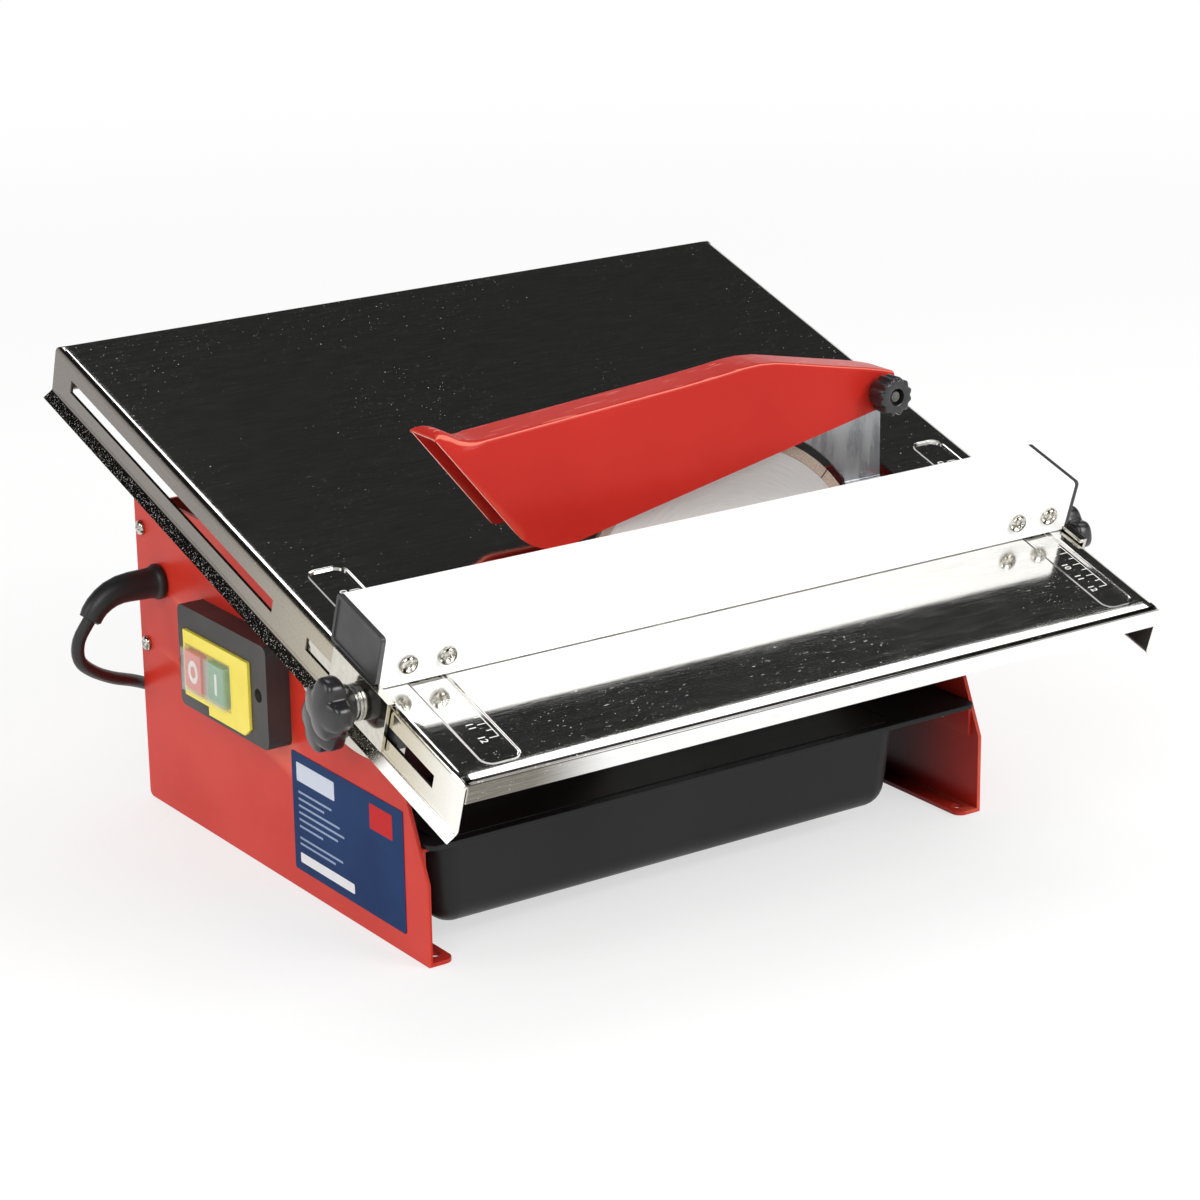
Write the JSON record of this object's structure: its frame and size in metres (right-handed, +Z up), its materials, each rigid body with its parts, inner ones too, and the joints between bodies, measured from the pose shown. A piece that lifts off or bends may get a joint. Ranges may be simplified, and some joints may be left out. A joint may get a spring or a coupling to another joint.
{
  "type": "tile cutter",
  "caption": "Electric wet tile cutter: a tilting steel table with a sliding fence, a fixed diamond blade under a lifting guard, and a water tray.",
  "frame": {"origin": "on the bench, below the middle of the bounding box without the free cord", "axes": "+X along the blade, from the guard's nose to the riving knife; +Y from the front to the motor; +Z up"},
  "size_m": [0.4398, 0.538, 0.2407],
  "materials": {
    "red_paint": "glossy red powder coat",
    "zinc_steel": "zinc-plated steel",
    "stainless": "polished stainless sheet, brushed along the length",
    "screw_steel": "bright plated steel",
    "blade_steel": "ground steel with a sintered diamond rim",
    "knob_black": "moulded black plastic",
    "black_plastic": "textured black plastic",
    "grey_plastic": "dark grey plastic",
    "yellow_plastic": "yellow plastic",
    "red_plastic": "red plastic",
    "green_plastic": "green plastic",
    "clear_pvc": "clear flexible membrane",
    "blue_label": "printed film",
    "motor_casting": "die-cast aluminium",
    "lamination": "stacked electrical steel",
    "copper_winding": "enamelled copper wire",
    "white_plastic": "white plastic can",
    "cord_pvc": "black rubber sheath"
  },
  "bodies": {
    "chassis": {"left_side_plate": "red_paint", "right_side_plate": "red_paint", "rear_panel": "red_paint", "motor_plate": "red_paint", "knife_bracket": "red_paint", "chassis_screws": "screw_steel", "motor_front_bell": "motor_casting", "stator_core": "lamination", "stator_windings": "copper_winding", "motor_rear_bell": "motor_casting", "fan_cowl": "black_plastic", "motor_tie_bolts": "screw_steel", "motor_bearings": "screw_steel", "run_capacitor": "white_plastic", "capacitor_clip": "zinc_steel", "riving_knife": "stainless", "knife_screws": "screw_steel", "water_tray": "black_plastic", "tray_rails": "red_paint", "tray_screws": "screw_steel", "switch_box": "grey_plastic", "switch_body": "black_plastic", "switch_frame": "yellow_plastic", "switch_membrane": "clear_pvc", "switch_screws": "screw_steel", "rating_label": "blue_label", "guide_studs": "zinc_steel", "tilt_studs": "zinc_steel", "tilt_washers": "zinc_steel", "strain_relief": "cord_pvc", "mains_cord": "cord_pvc", "cord_coil": "cord_pvc", "mains_plug": "cord_pvc"},
    "table": {"table_top": "stainless", "left_quadrant": "stainless", "right_quadrant": "stainless"},
    "fence": {"fence_rail": "stainless", "fence_end_caps": "black_plastic", "left_fence_bracket": "stainless", "right_fence_bracket": "stainless", "fence_screws": "screw_steel", "fence_studs": "zinc_steel", "fence_washers": "zinc_steel", "clamp_blocks": "black_plastic"},
    "left_fence_knob": {"left_fence_knob": "knob_black"},
    "right_fence_knob": {"right_fence_knob": "knob_black"},
    "left_tilt_knob": {"left_tilt_knob": "knob_black"},
    "right_tilt_knob": {"right_tilt_knob": "knob_black"},
    "guard": {"blade_guard": "red_paint", "guard_bolt": "screw_steel", "guard_spacers": "zinc_steel"},
    "guard_knob": {"guard_knob": "knob_black"},
    "spindle": {"motor_shaft": "screw_steel", "rotor_core": "lamination", "cooling_fan": "black_plastic", "blade_flanges": "zinc_steel", "cutting_blade": "blade_steel", "arbor_nut": "screw_steel"},
    "stop_button": {"stop_button": "red_plastic"},
    "start_button": {"start_button": "green_plastic"}
  },
  "joints": [
    {"name": "table_tilt", "type": "hinge", "parent": "chassis", "child": "table", "pos_m": [0, -0.0503, 0.169], "axis": [1, 0, 0], "range_deg": [-17.75, 27.25]},
    {"name": "fence_slide", "type": "slide", "parent": "table", "child": "fence", "axis": [0, 0.9524, 0.3049], "range_m": [-0.051, 0.013]},
    {"name": "left_fence_knob_turn", "type": "hinge", "parent": "fence", "child": "left_fence_knob", "pos_m": [-0.2029, -0.10538, 0.13772], "axis": [-1, 0, 0], "range_deg": [0, 360]},
    {"name": "right_fence_knob_turn", "type": "hinge", "parent": "fence", "child": "right_fence_knob", "pos_m": [0.2029, -0.10538, 0.13772], "axis": [1, 0, 0], "range_deg": [0, 360]},
    {"name": "left_tilt_knob_turn", "type": "hinge", "parent": "chassis", "child": "left_tilt_knob", "pos_m": [-0.1673, -0.03742, 0.10274], "axis": [-1, 0, 0], "range_deg": [0, 360]},
    {"name": "right_tilt_knob_turn", "type": "hinge", "parent": "chassis", "child": "right_tilt_knob", "pos_m": [0.1673, -0.03742, 0.10274], "axis": [1, 0, 0], "range_deg": [0, 360]},
    {"name": "guard_lift", "type": "hinge", "parent": "chassis", "child": "guard", "pos_m": [0.1275, -0.0503, 0.2153], "axis": [0, 1, 0], "range_deg": [0, 60]},
    {"name": "guard_knob_turn", "type": "hinge", "parent": "guard", "child": "guard_knob", "pos_m": [0.1275, -0.0614, 0.2153], "axis": [0, -1, 0], "range_deg": [0, 360]},
    {"name": "blade_spin", "type": "hinge", "parent": "chassis", "child": "spindle", "pos_m": [0.039, -0.0503, 0.1144], "axis": [0, 1, 0], "continuous": true},
    {"name": "stop_press", "type": "slide", "parent": "chassis", "child": "stop_button", "axis": [1, 0, 0], "range_m": [0, 0.002], "stiffness_N_per_m": 500},
    {"name": "start_press", "type": "slide", "parent": "chassis", "child": "start_button", "axis": [1, 0, 0], "range_m": [0, 0.002], "stiffness_N_per_m": 500}
  ]
}
